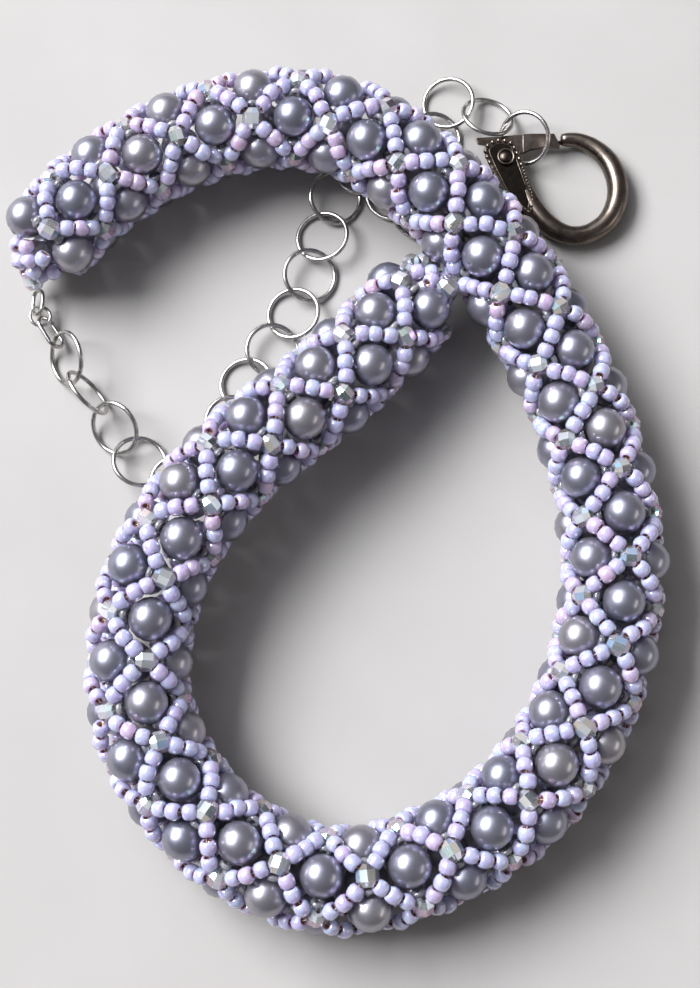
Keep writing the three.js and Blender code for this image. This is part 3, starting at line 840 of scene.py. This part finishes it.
# %% Tree: wire rings
wire_tree, given = node_tree("wire_rings", {
    "Geometry": "Geometry", "Ring radius": 5.05 * MM, "Wire radius": 0.45 * MM,
    "Drawn out": 0.0, "Cut": 0.12 * MM, "Steps": 56, "Sides": 12})
cut_angle = calc(wire_tree, "DIVIDE", given["Cut"], given["Ring radius"])
swept_angle = calc(wire_tree, "SUBTRACT", 2 * math.pi, cut_angle)
arc = linked(wire_tree, "GeometryNodeCurveArc", Resolution=given["Steps"], Radius=given["Ring radius"],
             Start_Angle=cut_angle, Sweep_Angle=swept_angle)
corner = wire_tree.nodes.new("ShaderNodeSeparateXYZ")
wire_tree.links.new(node(wire_tree, "GeometryNodeInputPosition"), corner.inputs[0])
pull = calc(wire_tree, "MULTIPLY", calc(wire_tree, "SIGN", corner.outputs["Y"]), given["Drawn out"])
shift = node(wire_tree, "ShaderNodeCombineXYZ", 0.0, calc(wire_tree, "MULTIPLY", pull, 0.5), 0.0)
bent = node(wire_tree, "GeometryNodeSetPosition", arc.outputs["Curve"], None, None, shift)
section = node(wire_tree, "GeometryNodeCurvePrimitiveCircle", given["Sides"])
put(wire_tree, section.node.inputs["Radius"], given["Wire radius"])
tube = linked(wire_tree, "GeometryNodeCurveToMesh", Curve=bent, Profile_Curve=section, Fill_Caps=True)
directions = []
for label in ("square", "long"):
    stored = wire_tree.nodes.new("GeometryNodeInputNamedAttribute")
    stored.data_type = "FLOAT_VECTOR"
    stored.inputs["Name"].default_value = label
    directions.append(next(s for s in stored.outputs if s.enabled and s.name == "Attribute"))
faced = node(wire_tree, "FunctionNodeAxesToRotation", *directions, primary_axis="Z", secondary_axis="Y")
placed = linked(wire_tree, "GeometryNodeInstanceOnPoints", Points=given["Geometry"],
                Instance=tube.outputs["Mesh"], Rotation=faced)
close_tree(wire_tree, placed.outputs["Instances"], bright_silver)


# %% Rings and links
def wire_piece(name, names, **sizes):
    """One piece of wire rings in the places of the named nodes, fixed to the necklace."""
    piece = grow(name, ring_places(names), wire_tree, **sizes)
    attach(piece, "necklace")
    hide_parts(*names)
    print(name, len(names), "rings,", len(piece.data.polygons), "faces")
    return piece


chain_names = sorted(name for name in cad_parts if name.startswith("chain_ring"))
clasp_names = sorted(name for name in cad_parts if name.startswith("clasp_ring"))
wire_piece("chain_rings", chain_names)
wire_piece("clasp_rings", clasp_names)
wire_piece("end_ring", ["small_ring"], Ring_radius=1.95 * MM, Wire_radius=0.35 * MM)
wire_piece("long_link", ["oval_link"], Ring_radius=1.75 * MM, Wire_radius=0.4 * MM, Drawn_out=3.4 * MM)
wire_piece("thread_guard", ["wire_guard"], Ring_radius=1.55 * MM, Wire_radius=0.4 * MM, Drawn_out=1.8 * MM)

# %% [markdown]
# ## The clasp
# A lobster clasp is cast in one piece: a hook of round section grows out of a leaf-shaped body with a
# beaded edge. The body is forked for the lever, which turns on a rivet whose head is a small boss in the
# leaf. Each part is a skin stretched over rows of corners, because cast shapes have no straight runs.

# %% Helpers for skins
CLASP_AT = Vector((46.3, 59.7, 0.0))
CLASP_MIDDLE = 2.4


def closed_skin(shape, rows, hollow=0.0, loop=False):
    """Adds rows of corners (mm, in the clasp's frame) as one closed skin, capped unless it is a loop."""
    layer = shape.verts.layers.float["hollow"]
    corners = []
    for row in rows:
        made = [shape.verts.new((Vector(place) + CLASP_AT) * MM) for place in row]
        for corner in made:
            corner[layer] = hollow
        corners.append(made)
    faces = walled(shape, corners + corners[:1] if loop else corners)
    for face in faces:
        face.smooth = True
    if not loop:
        faces.append(shape.faces.new(corners[0]))
        faces.append(shape.faces.new(corners[-1]))
    bmesh.ops.recalc_face_normals(shape, faces=faces)


def tube_rows(path, radii, sides=16, tall=1.0):
    """Round sections square to a path that lies level; tall is height over width."""
    path = [Vector(place) for place in path]
    rows = []
    for index, (place, radius) in enumerate(zip(path, radii)):
        ahead = path[min(index + 1, len(path) - 1)] - path[max(index - 1, 0)]
        out = ahead.cross(UP).normalized()
        rows.append([place + out * radius * math.cos(a) + Vector((0, 0, radius * tall * math.sin(a)))
                     for a in turns(sides)])
    return rows


def inset(outline, amount):
    """A closed outline moved inwards by an amount."""
    points = np.array(outline, float)
    run = np.roll(points, -1, axis=0) - np.roll(points, 1, axis=0)
    inwards = np.column_stack([-run[:, 1], run[:, 0]]) / np.linalg.norm(run, axis=1)[:, None]
    return points + inwards * amount


def pad_rows(outline, levels):
    """Rows of a flat cushion: levels are (height, how far in)."""
    return [[(x, y, height) for x, y in inset(outline, amount)] for height, amount in levels]


# %% Claw and eye
CLAW = [
    (-0.9, 10.45, 1.25), (2.6, 10.3, 1.5), (6, 8.6, 1.75), (8.9, 5.4, 2), (10.2, 1.2, 2.1), (9.9, -3, 2.1),
    (7.8, -7, 2.05), (4, -9.5, 1.95), (0, -9.6, 1.9), (-3.6, -7.6, 2), (-6.3, -4.3, 2), (-8.2, -0.6, 1.8),
]
clasp_shape = bmesh.new()
clasp_shape.verts.layers.float.new("hollow")
bend = smooth_path(CLAW, 7)
TIP_ROUNDING = 0.4
rounded = [(TIP_ROUNDING * t, (1 - (1 - t) ** 2) ** 0.5) for t in (0.06, 0.25, 0.55)]
tip_x, tip_y, tip_half = bend[0]
claw_path = [(tip_x + ahead, tip_y, CLASP_MIDDLE) for ahead, share in rounded]
claw_radii = [tip_half * share for ahead, share in rounded]
for x, y, half in bend[2:]:
    claw_path.append((x, y, CLASP_MIDDLE))
    claw_radii.append(half)
closed_skin(clasp_shape, tube_rows(claw_path, claw_radii, 18, tall=1.08))

# A small step under the claw's tip is the seat that the lever's end shuts on.
STEP_HEIGHT, STEP_RADIUS = 1.3, 0.45
step_path = [(tip_x + ahead, tip_y - 0.2, STEP_HEIGHT) for ahead in (-1.1, -1.0, 0.3)]
closed_skin(clasp_shape, tube_rows(step_path, [0.25, STEP_RADIUS, STEP_RADIUS], 10))

EYE = Vector((-13.6, -3.1, 2.4))
EYE_RADIUS, EYE_WIRE, EYE_TURN = 1.75, 0.65, math.radians(48)
eye_rows = []
for turn in turns(28):
    out = Matrix.Rotation(EYE_TURN, 3, "Z") @ Vector((math.cos(turn), 0, math.sin(turn)))
    across = Matrix.Rotation(EYE_TURN, 3, "Z") @ Vector((0, 1, 0))
    eye_rows.append([EYE + out * (EYE_RADIUS + EYE_WIRE * math.cos(a)) + across * EYE_WIRE * math.sin(a)
                     for a in turns(12)])
closed_skin(clasp_shape, eye_rows, loop=True)
print("claw of", len(claw_path), "rows")

# %% [markdown]
# The body is a leaf seen from above. A full-width foot carries the claw and the eye, and a thin cheek
# lies over the lever and another under it. The ground inside the leaf's edge is kept dark.

# %% Body
LEAF = [
    (-16.2, 7.4), (-15.4, 4.7), (-14, 1.5), (-12.2, -2.1), (-9.2, -4.6), (-7.3, -5.7), (-6.6, -2.5),
    (-7.6, 1.1), (-8.6, 4.5), (-9.7, 7.6), (-10.9, 9.3), (-13, 9.8), (-15.1, 9.1),
]
PIVOT = Vector((-12.0, 5.9, 0.0))
TOP = 4.3
FORK_FROM, EAR_FROM = 2.5, 5.0
leaf = closed_path(LEAF, 5)
foot = [place for place in leaf if place[1] < FORK_FROM]
lower = [place for place in leaf if place[1] < EAR_FROM]
EAR_RADIUS = 2.3
ear = [(PIVOT.x + EAR_RADIUS * math.cos(a), PIVOT.y + EAR_RADIUS * math.sin(a)) for a in turns(32)]
TOP_CHEEK = [(3.35, 0.2), (3.42, 0.04), (3.6, 0), (4.08, 0), (4.24, 0.07), (TOP, 0.2)]
LOWER_CHEEK = [(1.5, 0.15), (1.6, 0), (1.95, 0), (2.05, 0.15)]
LEAF_GROUND = [(TOP - 0.2, 0.7), (TOP + 0.03, 0.72)]
FOOT = [(0.03, 0.6), (0.25, 0.2), (0.7, 0), (3.4, 0), (3.5, 0.2)]
for outline, levels, hollow in ((leaf, TOP_CHEEK, 0.0), (leaf, LEAF_GROUND, 0.85), (foot, FOOT, 0.0),
                                (lower, LOWER_CHEEK, 0.0), (ear, LOWER_CHEEK, 0.0)):
    closed_skin(clasp_shape, pad_rows(outline, levels), hollow)
print("leaf of", len(leaf), "corners")

# %% [markdown]
# A fine raised line runs round the leaf inside its edge, as a wire laid on the dark ground.

# %% Raised line
LINE_INSET, LINE_RADIUS = 0.95, 0.13
TO_LEAF_MIDDLE = Vector((1.9, -5.2, 0)) * 0.5
line_rows = []
for x, y in inset(leaf, LINE_INSET):
    across = (Vector((x, y, 0)) - PIVOT - TO_LEAF_MIDDLE).normalized()
    middle = Vector((x, y, TOP + 0.05))
    line_rows.append([middle + LINE_RADIUS * (across * math.cos(a) + Vector((0, 0, math.sin(a))))
                      for a in turns(6)])
closed_skin(clasp_shape, line_rows, loop=True)
print("line of", len(line_rows), "rows")

# %% [markdown]
# Round grains edge the leaf: large ones round its broad end and small ones down its sides. They follow
# the edge, so a tree walks along it and sets a grain at every step.

# %% Tree: grains along an edge
grain_tree, given = node_tree("grains", {
    "Geometry": "Geometry", "Grain radius": 0.4 * MM, "Step": 0.9 * MM})
edge = node(grain_tree, "GeometryNodeMeshToCurve", given["Geometry"])
walk = grain_tree.nodes.new("GeometryNodeResampleCurve")
walk.mode = "LENGTH"
grain_tree.links.new(edge, walk.inputs["Curve"])
grain_tree.links.new(given["Step"], next(s for s in walk.inputs if s.enabled and s.name == "Length"))
grain = node(grain_tree, "GeometryNodeMeshIcoSphere", given["Grain radius"], 2)
grain = node(grain_tree, "GeometryNodeSetShadeSmooth", grain, None, True)
placed = linked(grain_tree, "GeometryNodeInstanceOnPoints", Points=walk.outputs["Curve"], Instance=grain)
close_tree(grain_tree, placed.outputs["Instances"], antique_silver)


def edge_line(amount, keep):
    """Part of the leaf's edge, moved in, as a line at the top of the body in the table's frame."""
    places = [(Vector((x, y, TOP)) + CLASP_AT) * MM for x, y in inset(leaf, amount) if keep(x, y)]
    return chain_mesh("edge", places)


BROAD_FROM = 4.4
start = next(i for i, (x, y) in enumerate(leaf) if y < BROAD_FROM)
leaf = np.roll(leaf, -start, axis=0)
LEAF_POINT = Vector((-8.3, -4.0, 0.0))


def middle_x(y):
    """Where the leaf's middle line is at a height on the table."""
    return PIVOT.x + (y - PIVOT.y) * (LEAF_POINT.x - PIVOT.x) / (LEAF_POINT.y - PIVOT.y)


SIDES_FROM = BROAD_FROM - 0.6
LARGE_IN, SMALL_IN = 0.3, 0.25
LARGE_GRAIN = dict(Grain_radius=0.55 * MM, Step=1.2 * MM)
SMALL_GRAIN = dict(Grain_radius=0.3 * MM, Step=0.68 * MM)
broad_line = edge_line(LARGE_IN, lambda x, y: y >= BROAD_FROM)
left_line = edge_line(SMALL_IN, lambda x, y: y < SIDES_FROM and x < middle_x(y))
right_line = edge_line(SMALL_IN, lambda x, y: y < SIDES_FROM and x > middle_x(y))
grains = [
    grow("grains_broad", broad_line, grain_tree, **LARGE_GRAIN),
    grow("grains_left", left_line, grain_tree, **SMALL_GRAIN),
    grow("grains_right", right_line, grain_tree, **SMALL_GRAIN),
]
print("grains", [len(line.vertices) for line in (broad_line, left_line, right_line)], "edge points")


# %% Clasp body in one piece
def metal_piece(name, shape):
    """A finished cast shape as an object of blackened silver."""
    mesh = bpy.data.meshes.new(name)
    shape.to_mesh(mesh)
    shape.free()
    mesh.materials.append(antique_silver)
    return add_object(name, mesh)


clasp_body = metal_piece("clasp_cast", clasp_shape)
clasp_body = joined("clasp_body_cast", [clasp_body, *grains])
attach(clasp_body, "necklace")
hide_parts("clasp_body")
report(clasp_body)

# %% [markdown]
# The boss is the head of the rivet: a dark dome inside a thin raised rim, turned like a bead.

# %% Rivet and boss
BOSS = [
    (0.68, 1.52, 0), (0.7, 4.5, 0), (1.5, 4.6, 0), (1.72, 4.72, 0), (1.74, 4.92, 0),
    (1.62, 5.06, 0), (1.45, 5.04, 0), (1.34, 4.86, 1), (1.26, 4.84, 1), (1.08, 4.98, 0.8), (0.8, 5.14, 0.6),
    (0.42, 5.25, 0.5),
]  # radius, height and hollow of each row
BOSS_POLES = ((1.5, 0), (5.29, 0.5))
boss_shape = bmesh.new()
hollow_layer = boss_shape.verts.layers.float.new("hollow")
BOSS_SIDES = 32
rows = [round_row(boss_shape, PIVOT + CLASP_AT, radius, height, BOSS_SIDES, hollow_layer, dark)
        for radius, height, dark in BOSS]
walled(boss_shape, rows)
for row, (height, dark) in zip((rows[0], rows[-1]), BOSS_POLES):
    pole = boss_shape.verts.new((PIVOT + CLASP_AT + Vector((0, 0, height))) * MM)
    pole[hollow_layer] = dark
    for side in range(BOSS_SIDES):
        boss_shape.faces.new((row[side], row[(side + 1) % BOSS_SIDES], pole))
bmesh.ops.recalc_face_normals(boss_shape, faces=boss_shape.faces)
for face in boss_shape.faces:
    face.smooth = True
boss = metal_piece("boss", boss_shape)
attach(boss, "necklace")
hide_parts("clasp_rivet")
report(boss)

# %% [markdown]
# The lever is a flat strap with a thumb tab, punched for the rivet. Its node already has that outline, so
# a copy of its mesh is merged, its flat faces are joined, and its edges are rounded over.

# %% Lever
SAME_PLACE = 0.002 * MM
FLAT_WITHIN = math.radians(2)
EDGE_FROM = math.radians(35)
EDGE_ROUNDING = 0.16 * MM
SMALL_FACE = 0.9 * MM
lever_shape = bmesh.new()
lever_shape.from_mesh(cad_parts["clasp_lever"].data)
bmesh.ops.remove_doubles(lever_shape, verts=lever_shape.verts, dist=SAME_PLACE)
bmesh.ops.dissolve_limit(lever_shape, angle_limit=FLAT_WITHIN, verts=lever_shape.verts,
                         edges=lever_shape.edges)
sharp = [edge for edge in lever_shape.edges if edge.calc_face_angle(0) > EDGE_FROM]
bmesh.ops.bevel(lever_shape, geom=sharp, offset=EDGE_ROUNDING, segments=3, profile=0.5, affect="EDGES",
                clamp_overlap=True)
bmesh.ops.recalc_face_normals(lever_shape, faces=lever_shape.faces)
for face in lever_shape.faces:
    face.smooth = face.calc_area() < SMALL_FACE ** 2
lever = metal_piece("lever", lever_shape)
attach(lever, "gate")
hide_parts("clasp_lever")
report(lever)

# %% [markdown]
# ## The table
# The necklace rests on a plain pale floor, a hair below its lowest pieces.

# %% Floor
floor_mesh = bpy.data.meshes.new("floor")
HALF_FLOOR = 4.0
FLOOR_AT = -0.1 * MM
corners = [(x * HALF_FLOOR, y * HALF_FLOOR, FLOOR_AT) for x, y in ((-1, -1), (1, -1), (1, 1), (-1, 1))]
floor_mesh.from_pydata(corners, [], [(0, 1, 2, 3)])
pale, tree, shader = finish("pale_floor", Roughness=0.85, Specular_IOR_Level=0.2)
feed(tree, shader, Base_Color=ramp(
    tree, pattern(tree, 30.0, 4.0), (0.3, (0.35, 0.33, 0.31)), (0.7, (0.375, 0.355, 0.335))))
floor_mesh.materials.append(pale)
floor = add_object("floor", floor_mesh)
